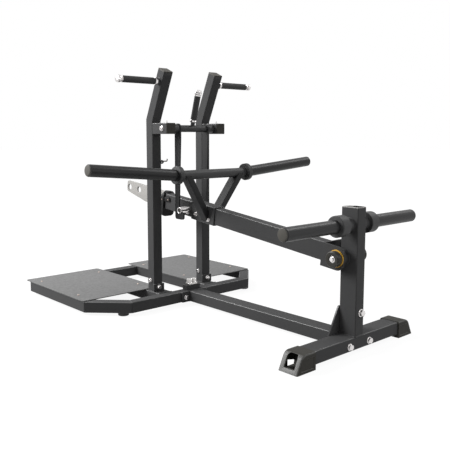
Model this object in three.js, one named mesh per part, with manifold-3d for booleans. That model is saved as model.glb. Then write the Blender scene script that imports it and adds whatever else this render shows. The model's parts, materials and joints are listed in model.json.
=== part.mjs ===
// Belt squat machine: a welded base with two foot platforms, two uprights with handles and a swinging
// catch, a rear post that carries the pivot and two storage horns, and a loading lever hinged on the post.
// Millimetres. X runs from the platforms to the rear post, Y across, Z up. The origin is on the floor,
// under the middle of the whole machine.
import * as THREE from "three";
import { mergeVertices } from "three/addons/utils/BufferGeometryUtils.js";
import Module from "manifold-3d";

const wasm = await Module();
wasm.setup();

// Shared sizes
const clearance = 0.3; // gap beside pieces that are cut to their neighbour or that turn
const overrun = 5; // how far a cutter runs past what it cuts
const weldBite = 1; // how far two pieces of one weldment run into each other
const mergeTolerance = 0.0001;
const tubeWide = 50;
const tubeDeep = 50;
const beamWide = 75;
const tubeCorner = 4;
const plateThick = 4;
const rodChamfer = 1.5;
const capThick = 5;
const roundSteps = 36;
const cornerSteps = 4;

// Base
const footClear = 14;
const platformLong = 572;
const platformWide = 420;
const platformGap = 200;
const platformEdge = 3;
const platformCorner = 12;
const platformOverhang = 40; // past the base tubes at the front
const platformSetback = 131; // from the rear tube's middle to the platforms' rear edge
const cornerLeg = 154; // each leg of the slanted corner, along the outside
const rubberFootWide = 50;
const rubberFootShare = 0.83; // along the slanted corner tube
const rubberFootInset = 137; // front feet, from the base's outer face
const rubberFootTaper = 3;
const beamFlangeWide = 166;
const beamFlangeThick = 8;
const beamPlateTopWide = 54;
const beamPlateHigh = 104; // above the base tubes
const baseLong = 944; // from the rear tube's middle to the post's middle
const footTubeHalf = 268;
const capSocket = 11;
const capWide = 88;
const capHigh = 66;
const capLong = 98;
const capSlope = 32;
const capCorner = 8;
const capLip = 4; // the inner end's lower edge is cut back by this much
const capHoleWide = 46;
const capHoleHigh = 46;
const capHoleLow = 15;
const capHoleDeep = 82;
const capHoleCorner = 9;
const capWindowWide = 55;
const capWindowHigh = 30;
const capWindowEdge = 3;

// Stop on the rear tube, under the lever
const stopBlockWide = 84;
const stopBlockLong = 34;
const stopBlockHigh = 24;
const stopSaddleHigh = 8;
const hexSides = 6;
const stopBoltFlats = 25;
const stopBoltHigh = 18;

// Rear post and what it carries
const postHigh = 482;
const postWall = 4;
const hornThick = 50;
const storageHornHigh = 416; // above the base tubes
const storageHornLong = 277;
const storageNeckLong = 40;
const storageCollarThick = 80;
const storageCollarLong = 45;
const pivotHigh = 290.5; // above the base tubes
const pivotOffset = 29; // ahead of the post's middle
const hubThick = 64;
const shaftThick = 25;

// Uprights
const uprightOffset = 90; // from the rear tube's middle to the uprights' middle
const uprightSpread = 150;
const uprightStraight = 809; // from the base tubes to the bend
const uprightLeaning = 240;
const uprightLean = 23.8; // degrees
const bracketThick = 6;
const bracketMargin = 5;
const bracketHigh = 38;
const handleAlong = 190; // from the bend along the leaning tube
const handleStubThick = 28;
const handleStubLong = 13;
const handleRingThick = 34;
const handleRingLong = 10;
const handleBarThick = 22;
const gripThick = 30;
const gripLong = 172;
const gripEndLong = 24;
const pegDrop = 190; // below the bend
const pegBossThick = 16;
const pegBossLong = 9;
const pegThick = 7;
const pegLong = 46;

// Catch
const catchBelow = 37.5; // axis below the uprights' bend
const catchReach = 75; // axis ahead of the uprights' rear faces
const catchBracketLong = 106;
const catchTubeThick = 32;
const catchBushThick = 40;
const hookSpread = 84;
const hookThick = 8;
const hookHeadThick = 47;
const hookBarHalf = 20.5;
const hookNeckDrop = 40;
const hookShankGap = 1.2;
const hookSeatGap = 0.6;
const hookFootDeep = 33;
const hookToe = 24; // beyond the pin's middle
const hookCorner = 12;
const catchHandleLean = 16; // degrees
const catchHandleStart = 40;
const catchHandleLong = 174;
const catchHandleEnd = 16;
const catchGripThick = 29;
const catchBarThick = 20;
const catchRingThick = 31;
const catchRingLong = 9;

// Lever
const leverTilt = 6.6; // degrees, the far end up
const leverWide = 50;
const leverDeep = 75;
const leverBeyond = 202; // past the catch pin
const yokeReach = 64;
const yokeWebThick = 8;
const yokeHigh = 90;
const earThick = 8;
const earGap = 0.6;
const earBeyond = 32;
const earCorner = 28;
const hubProud = 26.5; // hub beyond each side of the post
const ringThick = 66;
const ringLong = 5;
const pivotCapThick = 60;
const pivotCapLong = 24;
const pivotCapTaper = 3;
const capRecessThick = 30;
const capRecessDeep = 5;
const shaftHeadThick = 16;
const shaftHeadLong = 7;
const sleevePinGap = 13; // from the sleeve to the catch pin's middle
const sleeveLong = 160;
const sleeveWall = 5;
const crossbarInset = 99; // from the sleeve's far end
const crossbarHigh = 187.5;
const crossbarThick = 42;
const strutWide = 50;
const strutDeep = 30;
const strutFoot = 6.5; // strut's middle line below the lever's middle, at the sleeve's side
const strutLean = 33.5; // degrees from upright
const hornFlangeAt = 194;
const hornFlangeThick = 80;
const hornFlangeLong = 22;
const hornLong = 436;
const hornRise = 4.9; // degrees
const pinBehind = 17.9; // the pin's middle from the catch's axis, towards the post
const pinThick = 20;
const pinCapThick = 30;
const pinCapLong = 6;
const pinCapGap = 1;
const endPlateWide = 72;
const endPlateHigh = 122;
const endPlateDrop = 78;
const endPlateThick = 8;
const endPlateCorner = 20;
const beltPlateLong = 356;
const beltPlateHigh = 84;
const beltPlateTop = 43;
const beltPlateThick = 10;
const beltPlateTipHigh = 56;
const beltPlateTaper = 172;
const beltPlateCorner = 14;
const beltHole = 33;
const beltHoleEnd = 23;
const beltHoleHigh = 10;
const beltHolePitch = 86;
const sideTabLong = 43;
const sideTabHigh = 17;
const sideTabThick = 6;
const sideTabUp = 14;
const latchRodThick = 6;
const latchRodInset = 5; // from the side plate's end
const latchRodHigh = 51; // above the lever's middle line
const latchRodLong = 66;

// Places that follow from the sizes
const tubeTop = footClear + tubeDeep;
const platformRear = -platformSetback;
const platformFront = platformRear - platformLong;
const platformInner = platformGap / 2;
const platformOuter = platformInner + platformWide;
const frontFace = platformFront + platformOverhang;
const outerFace = platformOuter - platformEdge;
const innerRailFace = platformInner + platformEdge;
const rearTubeHalf = tubeWide / 2;
const capOutX = baseLong + capWide / 2;
const originX = (platformFront + capOutX) / 2;
const postFront = baseLong - beamWide / 2;
const postSide = tubeWide / 2;
const pivotX = baseLong - pivotOffset;
const pivotZ = tubeTop + pivotHigh;
const hubHalf = postSide + hubProud;
const earInner = hubHalf + earGap;
const earOuter = earInner + earThick;
const bendZ = tubeTop + uprightStraight;
const uprightX = -uprightOffset;
const catchX = uprightX + tubeWide / 2 + catchReach;
const catchZ = bendZ - catchBelow;
const lean = THREE.MathUtils.degToRad(uprightLean);
const tilt = THREE.MathUtils.degToRad(leverTilt);
const pinAlong = (pivotX - catchX - pinBehind) / Math.cos(tilt);
const leverLong = pinAlong + leverBeyond;
const sleeveEnd = pinAlong - sleevePinGap;
const sleeveStart = sleeveEnd - sleeveLong;
const crossbarAlong = sleeveEnd - crossbarInset;
const sides = [
  ["left", -1],
  ["right", 1],
];

// Helpers
const v3 = (x, y, z) => new THREE.Vector3(x, y, z);
const v2 = (x, y) => new THREE.Vector2(x, y);

// A geometry as a closed solid, turned the right way out
function toSolid(geometry) {
  const bare = new THREE.BufferGeometry();
  bare.setAttribute("position", geometry.getAttribute("position"));
  if (geometry.index) bare.setIndex(geometry.index);
  const merged = mergeVertices(bare, mergeTolerance);
  const build = (triVerts) =>
    new wasm.Manifold(
      new wasm.Mesh({
        numProp: 3,
        vertProperties: new Float32Array(merged.attributes.position.array),
        triVerts,
      }),
    );
  const kept = [];
  const index = merged.index.array;
  for (let i = 0; i < index.length; i += 3) {
    const [a, b, c] = [index[i], index[i + 1], index[i + 2]];
    if (a !== b && b !== c && c !== a) kept.push(a, b, c);
  }
  const solid = build(new Uint32Array(kept));
  if (solid.volume() > 0) return solid;
  for (let i = 0; i < kept.length; i += 3) [kept[i + 1], kept[i + 2]] = [kept[i + 2], kept[i + 1]];
  return build(new Uint32Array(kept));
}

// A solid back as a three.js geometry with flat faces
function toGeometry(solid) {
  const mesh = solid.getMesh();
  const geometry = new THREE.BufferGeometry();
  const points = new Float32Array(mesh.numVert * 3);
  for (let i = 0; i < mesh.numVert; i += 1)
    for (let k = 0; k < 3; k += 1) points[i * 3 + k] = mesh.vertProperties[i * mesh.numProp + k];
  geometry.setAttribute("position", new THREE.BufferAttribute(points, 3));
  geometry.setIndex(new THREE.BufferAttribute(new Uint32Array(mesh.triVerts), 1));
  const flat = geometry.toNonIndexed();
  flat.computeVertexNormals();
  return flat;
}

// An outline with each corner rounded by its own radius
function rounded(points, radii) {
  const out = [];
  points.forEach((p, i) => {
    const r = Array.isArray(radii) ? radii[i] : radii;
    const before = points[(i + points.length - 1) % points.length];
    const after = points[(i + 1) % points.length];
    const a = before.clone().sub(p).normalize();
    const b = after.clone().sub(p).normalize();
    const half = Math.acos(THREE.MathUtils.clamp(a.dot(b), -1, 1)) / 2;
    if (!r || half < Number.EPSILON) {
      out.push(p.clone());
      return;
    }
    const middle = a.clone().add(b).normalize();
    const centre = p.clone().addScaledVector(middle, r / Math.sin(half));
    const start = p.clone().addScaledVector(a, r / Math.tan(half)).sub(centre);
    const end = p.clone().addScaledVector(b, r / Math.tan(half)).sub(centre);
    let turn = Math.atan2(end.y, end.x) - Math.atan2(start.y, start.x);
    if (turn > Math.PI) turn -= 2 * Math.PI;
    if (turn < -Math.PI) turn += 2 * Math.PI;
    for (let k = 0; k <= cornerSteps; k += 1)
      out.push(start.clone().rotateAround(v2(0, 0), (turn * k) / cornerSteps).add(centre));
  });
  return out;
}

const box2 = (x0, y0, x1, y1) => [v2(x0, y0), v2(x1, y0), v2(x1, y1), v2(x0, y1)];

// An outline drawn in one plane and given a thickness from start upwards along the third axis
function slab(plane, outline, start, thick) {
  const geometry = new THREE.ExtrudeGeometry(new THREE.Shape(outline), {
    depth: thick,
    bevelEnabled: false,
  });
  const turn = new THREE.Matrix4();
  if (plane === "xz") turn.makeBasis(v3(1, 0, 0), v3(0, 0, 1), v3(0, -1, 0)).setPosition(0, start + thick, 0);
  if (plane === "yz") turn.makeBasis(v3(0, 1, 0), v3(0, 0, 1), v3(1, 0, 0)).setPosition(start, 0, 0);
  if (plane === "xy") turn.setPosition(0, 0, start);
  return toSolid(geometry.applyMatrix4(turn));
}

// A plain block between two corners
function block(low, high) {
  return slab("xy", box2(low.x, low.y, high.x, high.y), low.z, high.z - low.z);
}

// A turned piece: pairs of radius and distance along the way from one point towards another
function turned(from, to, profile, steps = roundSteps) {
  const way = to.clone().sub(from).normalize();
  const geometry = new THREE.LatheGeometry(
    profile.map(([radius, along]) => v2(radius, along)),
    steps,
  );
  geometry.applyQuaternion(new THREE.Quaternion().setFromUnitVectors(v3(0, 1, 0), way));
  geometry.translate(from.x, from.y, from.z);
  return toSolid(geometry);
}

// A round bar with chamfered ends
function rod(from, to, thick, chamfer = 0, steps = roundSteps) {
  const r = thick / 2;
  const long = from.distanceTo(to);
  const profile = chamfer
    ? [[0, 0], [r - chamfer, 0], [r, chamfer], [r, long - chamfer], [r - chamfer, long], [0, long]]
    : [[0, 0], [r, 0], [r, long], [0, long]];
  return turned(from, to, profile, steps);
}

// A tube-shaped bar of rounded rectangular section along a path, mitred where it bends.
// Wide is measured along side, deep across it. Ends holds the plane normals of cut ends.
function bar(path, side, wide, deep, corner, ends = []) {
  const section = rounded(box2(-wide / 2, -deep / 2, wide / 2, deep / 2), corner);
  const rings = path.map((p, i) => {
    const into = i > 0 ? p.clone().sub(path[i - 1]).normalize() : null;
    const outOf = i < path.length - 1 ? path[i + 1].clone().sub(p).normalize() : null;
    const way = (outOf || into).clone();
    const normal = i === 0 && ends[0] ? ends[0] : i === path.length - 1 && ends[1] ? ends[1] : null;
    const plane = normal || (into && outOf ? into.clone().add(outOf).normalize() : way);
    const up = way.clone().cross(side).normalize();
    return section.map((s) => {
      const at = p.clone().addScaledVector(side, s.x).addScaledVector(up, s.y);
      const slip = plane.dot(p.clone().sub(at)) / plane.dot(way);
      return at.addScaledVector(way, slip);
    });
  });
  const points = rings.flat();
  const n = section.length;
  const index = [];
  for (let k = 0; k < rings.length - 1; k += 1)
    for (let i = 0; i < n; i += 1) {
      const j = (i + 1) % n;
      index.push(k * n + i, k * n + j, (k + 1) * n + i, k * n + j, (k + 1) * n + j, (k + 1) * n + i);
    }
  const last = (rings.length - 1) * n;
  for (let i = 1; i < n - 1; i += 1) index.push(0, i + 1, i, last, last + i, last + i + 1);
  const geometry = new THREE.BufferGeometry().setFromPoints(points);
  geometry.setIndex(index);
  return toSolid(geometry);
}

// Materials
const finish = (color, roughness, metalness) => new THREE.MeshStandardMaterial({ color, roughness, metalness });
const blackPaint = finish(0x26272a, 0.55, 0.2);
const hornBlack = finish(0x1c1d1f, 0.45, 0.3);
const plateGrey = finish(0x8f8f8f, 0.6, 0.4);
const bareSteel = finish(0xb9b6b1, 0.4, 0.8);
const chrome = finish(0xd9dadc, 0.15, 1);
const capPlastic = finish(0x32312c, 0.7, 0);
const rubber = finish(0x1b1b1b, 0.9, 0);
const orange = finish(0xe09a22, 0.5, 0);

const machine = new THREE.Group();
machine.name = "belt_squat_machine";
const frameGroup = new THREE.Group();
const leverGroup = new THREE.Group();
const catchGroup = new THREE.Group();
machine.add(frameGroup, leverGroup, catchGroup);
frameGroup.position.set(-originX, 0, 0);
leverGroup.position.set(pivotX - originX, 0, pivotZ);
leverGroup.rotation.y = tilt;
catchGroup.position.set(catchX - originX, 0, catchZ);

function add(group, name, solid, material) {
  const mesh = new THREE.Mesh(toGeometry(solid), material);
  mesh.name = name;
  group.add(mesh);
}

// Base tubes
const lowZ = footClear;
const midZ = footClear + tubeDeep / 2;
const frontTubeBack = frontFace + tubeWide;
const cornerX = rearTubeHalf - cornerLeg;
const cornerY = outerFace - cornerLeg;
const halfTube = tubeWide / 2;
const mitre = Math.tan(Math.PI / 8);
add(
  frameGroup,
  "front_tube",
  bar([tubeWide - outerFace, outerFace - tubeWide].map((y) => v3(frontFace + halfTube, y, midZ)),
    v3(1, 0, 0), tubeWide, tubeDeep, tubeCorner),
  blackPaint,
);
const rearMitre = cornerY - halfTube * mitre;
add(
  frameGroup,
  "rear_tube",
  bar([v3(0, clearance - rearMitre, midZ), v3(0, rearMitre - clearance, midZ)],
    v3(1, 0, 0), tubeWide, tubeDeep, tubeCorner,
    [v3(mitre, 1, 0).normalize(), v3(-mitre, 1, 0).normalize()]),
  blackPaint,
);
sides.forEach(([name, s]) => {
  const railY = s * (outerFace - halfTube);
  const railEnd = cornerX - halfTube * mitre;
  add(
    frameGroup,
    `outer_rail_${name}`,
    bar([v3(frontFace, railY, midZ), v3(railEnd - clearance, railY, midZ)],
      v3(0, 1, 0), tubeWide, tubeDeep, tubeCorner, [null, v3(1, -s * mitre, 0).normalize()]),
    blackPaint,
  );
  const from = v3(railEnd, railY, midZ);
  const to = v3(0, s * rearMitre, midZ);
  const way = to.clone().sub(from).normalize();
  const across = v3(0, 0, 1).cross(way).normalize();
  add(
    frameGroup,
    `corner_tube_${name}`,
    bar([from.clone().addScaledVector(way, clearance), to.clone().addScaledVector(way, -clearance)],
      across, tubeWide, tubeDeep, tubeCorner,
      [v3(1, -s * mitre, 0).normalize(), v3(mitre, -s, 0).normalize()]),
    blackPaint,
  );
  const innerY = s * (innerRailFace + beamWide / 2);
  add(
    frameGroup,
    `inner_rail_${name}`,
    bar([v3(frontTubeBack, innerY, midZ), v3(-rearTubeHalf, innerY, midZ)],
      v3(0, 1, 0), beamWide, tubeDeep, tubeCorner),
    blackPaint,
  );
  const low = s < 0 ? -platformOuter : platformInner;
  add(
    frameGroup,
    `platform_${name}`,
    slab("xy", rounded(box2(platformFront, low, platformRear, low + platformWide), platformCorner),
      tubeTop, plateThick),
    plateGrey,
  );
  const footR = rubberFootWide / 2;
  const footAt = (x, y) =>
    turned(v3(x, y, 0), v3(x, y, footClear), [
      [0, 0],
      [footR - rubberFootTaper, 0],
      [footR, rubberFootTaper],
      [footR, footClear],
      [0, footClear],
    ]);
  const cornerFoot = from.clone().lerp(to, rubberFootShare);
  add(frameGroup, `rubber_foot_front_${name}`, footAt(frontFace + halfTube, s * (outerFace - rubberFootInset)), rubber);
  add(frameGroup, `rubber_foot_corner_${name}`, footAt(cornerFoot.x, cornerFoot.y), rubber);
});

// Main beam with a flange at the rear tube and a tapered end plate at the foot and post, welded as one piece
const beamStart = rearTubeHalf + beamFlangeThick - weldBite;
const beamPlateX = postFront - beamFlangeThick;
const flangeHalf = beamFlangeWide / 2;
const flange = slab(
  "yz",
  rounded(box2(-flangeHalf, lowZ, flangeHalf, tubeTop), tubeCorner),
  rearTubeHalf,
  beamFlangeThick,
);
const beamPlate = slab(
  "yz",
  [
    v2(-flangeHalf, lowZ),
    v2(flangeHalf, lowZ),
    v2(flangeHalf, tubeTop),
    v2(beamPlateTopWide / 2, tubeTop + beamPlateHigh),
    v2(-beamPlateTopWide / 2, tubeTop + beamPlateHigh),
    v2(-flangeHalf, tubeTop),
  ],
  beamPlateX,
  beamFlangeThick,
);
const beam = bar([v3(beamStart, 0, midZ), v3(beamPlateX + weldBite, 0, midZ)], v3(0, 1, 0),
  beamWide, tubeDeep, tubeCorner);
add(frameGroup, "main_beam", flange.add(beam).add(beamPlate), blackPaint);

// Rear foot and its caps with carrying holes
add(
  frameGroup,
  "foot_tube",
  bar([v3(baseLong, -footTubeHalf, midZ), v3(baseLong, footTubeHalf, midZ)],
    v3(1, 0, 0), beamWide, tubeDeep, tubeCorner),
  blackPaint,
);
const capInner = footTubeHalf - capSocket;
const capOuter = capInner + capLong;
sides.forEach(([name, s]) => {
  const side = [
    v2(s * (capInner + capLip), 0),
    v2(s * capOuter, 0),
    v2(s * (capOuter - capSlope), capHigh),
    v2(s * capInner, capHigh),
    v2(s * capInner, lowZ),
    v2(s * (capInner + capLip), lowZ),
  ];
  let cap = slab("yz", rounded(side, [0, 0, capCorner, 0, 0, 0]), baseLong - capWide / 2, capWide);
  const socketY = s * (footTubeHalf + clearance);
  cap = cap.subtract(
    bar([v3(baseLong, s * (capInner - overrun), midZ), v3(baseLong, socketY, midZ)],
      v3(1, 0, 0), beamWide + 2 * clearance, tubeDeep + 2 * clearance, tubeCorner),
  );
  const hole = rounded(
    box2(baseLong - capHoleWide / 2, capHoleLow, baseLong + capHoleWide / 2, capHoleLow + capHoleHigh),
    capHoleCorner,
  );
  const holeStart = s > 0 ? capOuter - capHoleDeep : -capOuter - overrun;
  cap = cap.subtract(slab("xz", hole, holeStart, capHoleDeep + overrun));
  const windowY = s * (footTubeHalf + capWindowEdge + capWindowWide / 2);
  const window = box2(
    windowY - capWindowWide / 2, -overrun, windowY + capWindowWide / 2, capWindowHigh,
  );
  cap = cap.subtract(slab("yz", window, baseLong - capWide / 2 - overrun, capWide / 2 + overrun));
  add(frameGroup, `foot_cap_${name}`, cap, capPlastic);
});

// Stop under the lever
add(
  frameGroup,
  "stop_block",
  slab("xy", rounded(box2(-stopBlockLong / 2, -stopBlockWide / 2, stopBlockLong / 2, stopBlockWide / 2), tubeCorner),
    tubeTop, stopBlockHigh),
  blackPaint,
);
const saddleZ = tubeTop + stopBlockHigh;
const boltR = stopBoltFlats / 2 / Math.cos(Math.PI / hexSides);
const saddleHalf = stopBoltFlats + weldBite;
let stopBolts = block(
  v3(-stopBlockLong / 2 + tubeCorner, -saddleHalf, saddleZ),
  v3(stopBlockLong / 2 - tubeCorner, saddleHalf, saddleZ + stopSaddleHigh),
);
sides.forEach(([, s]) => {
  const y = (s * (stopBoltFlats + weldBite)) / 2;
  const foot = v3(0, y, saddleZ + stopSaddleHigh - weldBite);
  const head = foot.clone().setZ(saddleZ + stopSaddleHigh + stopBoltHigh);
  stopBolts = stopBolts.add(rod(foot, head, 2 * boltR, 0, hexSides));
});
add(frameGroup, "stop_bolts", stopBolts, chrome);

// Rear post, open at the top, with the pivot hub through its front
const postTop = tubeTop + postHigh;
const postLine = [v3(baseLong, 0, tubeTop), v3(baseLong, 0, postTop)];
let post = bar(postLine, v3(1, 0, 0), beamWide, tubeWide, tubeCorner);
post = post.subtract(
  bar([v3(baseLong, 0, tubeTop + postWall), v3(baseLong, 0, postTop + overrun)], v3(1, 0, 0),
    beamWide - 2 * postWall, tubeWide - 2 * postWall, tubeCorner / 2),
);
const hubLine = [v3(pivotX, -hubHalf, pivotZ), v3(pivotX, hubHalf, pivotZ)];
post = post.subtract(rod(hubLine[0], hubLine[1], hubThick + 2 * clearance));
add(frameGroup, "rear_post", post, blackPaint);
const hub = rod(hubLine[0], hubLine[1], hubThick, rodChamfer).subtract(
  rod(v3(pivotX, -hubHalf - overrun, pivotZ), v3(pivotX, hubHalf + overrun, pivotZ), shaftThick + 2 * clearance),
);
add(frameGroup, "pivot_hub", hub, blackPaint);
sides.forEach(([name, s]) => {
  const z = tubeTop + storageHornHigh;
  const root = v3(baseLong, s * postSide, z);
  const collarEnd = storageNeckLong + storageCollarLong;
  const hornEnd = collarEnd + storageHornLong;
  const horn = turned(root, root.clone().setY(s * (postSide + hornEnd)), [
    [0, 0],
    [hornThick / 2, 0],
    [hornThick / 2, storageNeckLong],
    [storageCollarThick / 2 - rodChamfer, storageNeckLong],
    [storageCollarThick / 2, storageNeckLong + rodChamfer],
    [storageCollarThick / 2, collarEnd - 2 * rodChamfer],
    [storageCollarThick / 2 - 2 * rodChamfer, collarEnd],
    [hornThick / 2, collarEnd],
    [hornThick / 2, hornEnd - 2 * rodChamfer],
    [hornThick / 2 - 2 * rodChamfer, hornEnd],
    [0, hornEnd],
  ]);
  add(frameGroup, `storage_horn_${name}`, horn, hornBlack);
});

// Uprights with their feet, handles and catch brackets
const leanWay = v3(Math.sin(lean), 0, Math.cos(lean));
sides.forEach(([name, s]) => {
  const y = s * uprightSpread;
  const bend = v3(uprightX, y, bendZ);
  const top = bend.clone().addScaledVector(leanWay, uprightLeaning);
  let upright = bar([v3(uprightX, y, tubeTop), bend, top], v3(0, 1, 0), tubeWide, tubeWide, tubeCorner);
  const grab = bend.clone().addScaledVector(leanWay, handleAlong);
  const face = s * (uprightSpread + tubeWide / 2);
  const stubEnd = face + s * handleStubLong;
  upright = upright.add(rod(v3(grab.x, face - s * weldBite, grab.z), v3(grab.x, stubEnd, grab.z), handleStubThick));
  add(frameGroup, `upright_${name}`, upright, blackPaint);
  add(
    frameGroup,
    `upright_cap_${name}`,
    bar([top.clone().addScaledVector(leanWay, clearance), top.clone().addScaledVector(leanWay, capThick)],
      v3(0, 1, 0), tubeWide, tubeWide, tubeCorner),
    capPlastic,
  );
  const barStart = v3(grab.x, stubEnd, grab.z);
  const barLong = handleRingLong + gripLong + gripEndLong;
  const barEnd = v3(grab.x, stubEnd + s * barLong, grab.z);
  add(
    frameGroup,
    `handle_bar_${name}`,
    turned(barStart, barEnd, [
      [0, 0],
      [handleRingThick / 2 - rodChamfer, 0],
      [handleRingThick / 2, rodChamfer],
      [handleRingThick / 2, handleRingLong],
      [handleBarThick / 2, handleRingLong],
      [handleBarThick / 2, handleRingLong + gripLong],
      [gripThick / 2, handleRingLong + gripLong],
      [gripThick / 2, barLong - rodChamfer],
      [gripThick / 2 - rodChamfer, barLong],
      [0, barLong],
    ]),
    chrome,
  );
  const gripStart = handleRingLong + clearance;
  const gripStop = handleRingLong + gripLong - clearance;
  add(
    frameGroup,
    `handle_grip_${name}`,
    turned(barStart, barEnd, [
      [handleBarThick / 2 + clearance, gripStart],
      [gripThick / 2, gripStart],
      [gripThick / 2, gripStop],
      [handleBarThick / 2 + clearance, gripStop],
      [handleBarThick / 2 + clearance, gripStart],
    ]),
    rubber,
  );
  const rear = uprightX + tubeWide / 2;
  const bracketHalf = tubeWide / 2 + bracketMargin;
  add(
    frameGroup,
    `upright_bracket_${name}`,
    slab("yz", rounded(box2(y - bracketHalf, tubeTop, y + bracketHalf, tubeTop + bracketHigh), tubeCorner),
      rear, bracketThick),
    blackPaint,
  );
  const armEnd = rear + catchBracketLong;
  add(
    frameGroup,
    `catch_bracket_${name}`,
    bar([v3(rear, y, catchZ), v3(armEnd, y, catchZ)], v3(0, 1, 0), tubeWide, tubeDeep, tubeCorner),
    blackPaint,
  );
  add(
    frameGroup,
    `catch_bracket_cap_${name}`,
    bar([v3(armEnd, y, catchZ), v3(armEnd + capThick, y, catchZ)], v3(0, 1, 0), tubeWide, tubeDeep, tubeCorner),
    capPlastic,
  );
});

// Belt peg on the left upright's inner face
const pegFace = -(uprightSpread - tubeWide / 2);
const pegZ = bendZ - pegDrop;
const pegEnd = pegFace + pegBossLong + pegLong;
const peg = turned(v3(uprightX, pegFace, pegZ), v3(uprightX, pegEnd, pegZ), [
  [0, 0],
  [pegBossThick / 2, 0],
  [pegBossThick / 2, pegBossLong - rodChamfer],
  [pegBossThick / 2 - rodChamfer, pegBossLong],
  [pegThick / 2, pegBossLong],
  [pegThick / 2, pegBossLong + pegLong - rodChamfer],
  [pegThick / 2 - rodChamfer, pegBossLong + pegLong],
  [0, pegBossLong + pegLong],
]);
add(frameGroup, "belt_peg", peg, chrome);

// Catch: a cross tube with its handle bar, two hook plates and a grip, drawn about the catch's own axis
const pinDrop = catchZ - pivotZ - pinAlong * Math.sin(tilt);
const bracketInner = uprightSpread - tubeWide / 2;
const catchHalf = bracketInner - clearance;
const hookOuter = hookSpread + hookThick / 2;
const hookInner = hookSpread - hookThick / 2;
let catchTube = rod(v3(0, -catchHalf, 0), v3(0, catchHalf, 0), catchTubeThick);
sides.forEach(([, s]) => {
  catchTube = catchTube.add(rod(v3(0, s * (hookOuter + clearance), 0), v3(0, s * catchHalf, 0), catchBushThick));
});
const catchLean = THREE.MathUtils.degToRad(catchHandleLean);
const catchWay = v3(Math.sin(catchLean), 0, Math.cos(catchLean));
const alongCatch = (d) => catchWay.clone().multiplyScalar(d);
catchTube = catchTube.add(
  turned(v3(0, 0, 0), alongCatch(catchHandleLong), [
    [0, 0],
    [catchBarThick / 2, 0],
    [catchBarThick / 2, catchHandleStart - catchRingLong],
    [catchRingThick / 2, catchHandleStart - catchRingLong],
    [catchRingThick / 2, catchHandleStart],
    [catchBarThick / 2, catchHandleStart],
    [catchBarThick / 2, catchHandleLong - catchHandleEnd],
    [catchRingThick / 2, catchHandleLong - catchHandleEnd],
    [catchRingThick / 2, catchHandleLong - rodChamfer],
    [catchRingThick / 2 - rodChamfer, catchHandleLong],
    [0, catchHandleLong],
  ]),
);
add(catchGroup, "catch_tube", catchTube, blackPaint);
const catchGripStart = catchHandleStart + clearance;
const catchGripStop = catchHandleLong - catchHandleEnd - clearance;
const catchBore = catchBarThick / 2 + clearance;
add(
  catchGroup,
  "catch_grip",
  turned(v3(0, 0, 0), alongCatch(catchHandleLong), [
    [catchBore, catchGripStart],
    [catchGripThick / 2, catchGripStart],
    [catchGripThick / 2, catchGripStop],
    [catchBore, catchGripStop],
    [catchBore, catchGripStart],
  ]),
  rubber,
);
const throatX = pinBehind - pinThick / 2 - hookShankGap;
const toeX = pinBehind + hookToe;
const seatZ = -pinDrop - pinThick / 2 - hookSeatGap;
const footZ = seatZ - hookFootDeep;
const hookLine = rounded(
  [
    v2(-hookBarHalf, 0),
    v2(-hookBarHalf, footZ),
    v2(toeX, footZ),
    v2(toeX, seatZ),
    v2(throatX, seatZ),
    v2(hookBarHalf, -hookNeckDrop),
    v2(hookBarHalf, 0),
  ],
  [0, hookCorner, hookCorner, 0, 0, 0, 0],
);
sides.forEach(([name, s]) => {
  const low = s > 0 ? hookInner : -hookOuter;
  let hook = slab("xz", hookLine, low, hookThick);
  hook = hook.add(rod(v3(0, low, 0), v3(0, low + hookThick, 0), hookHeadThick));
  const boreEnd = low + hookThick + overrun;
  hook = hook.subtract(rod(v3(0, low - overrun, 0), v3(0, boreEnd, 0), catchTubeThick + 2 * clearance));
  add(catchGroup, `hook_${name}`, hook, blackPaint);
});

// Lever, drawn level about its pivot with the far end towards -X
const leverEnd = -leverLong;
const webBack = -yokeReach;
const webFront = webBack - yokeWebThick;
const leverLine = [v3(webFront - clearance, 0, 0), v3(leverEnd, 0, 0)];
let leverTube = bar(leverLine, v3(0, 1, 0), leverWide, leverDeep, tubeCorner);
leverTube = leverTube.subtract(
  rod(v3(-pinAlong, -leverWide, 0), v3(-pinAlong, leverWide, 0), pinThick + 2 * clearance),
);
add(leverGroup, "lever_tube", leverTube, blackPaint);
let yoke = block(v3(webFront, -earOuter, -yokeHigh / 2), v3(webBack, earOuter, yokeHigh / 2));
sides.forEach(([, s]) => {
  const outline = rounded(
    box2(webBack - weldBite, -yokeHigh / 2, earBeyond, yokeHigh / 2),
    [0, earCorner, earCorner, 0],
  );
  yoke = yoke.add(slab("xz", outline, s > 0 ? earInner : -earOuter, earThick));
});
yoke = yoke.subtract(
  rod(v3(0, -earOuter - overrun, 0), v3(0, earOuter + overrun, 0), shaftThick + 2 * clearance),
);
add(leverGroup, "lever_yoke", yoke, blackPaint);
const ringOut = earOuter + clearance + ringLong;
const capOut = ringOut + clearance + pivotCapLong;
const shaftHalf = capOut - capRecessDeep + clearance;
add(
  leverGroup,
  "pivot_shaft",
  turned(v3(0, -shaftHalf - shaftHeadLong, 0), v3(0, shaftHalf, 0), [
    [0, 0],
    [shaftHeadThick / 2, 0],
    [shaftHeadThick / 2, shaftHeadLong],
    [shaftThick / 2, shaftHeadLong],
    [shaftThick / 2, shaftHeadLong + 2 * shaftHalf],
    [shaftHeadThick / 2, shaftHeadLong + 2 * shaftHalf],
    [shaftHeadThick / 2, 2 * shaftHeadLong + 2 * shaftHalf],
    [0, 2 * shaftHeadLong + 2 * shaftHalf],
  ]),
  chrome,
);
const shaftBore = shaftThick / 2 + clearance;
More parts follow.
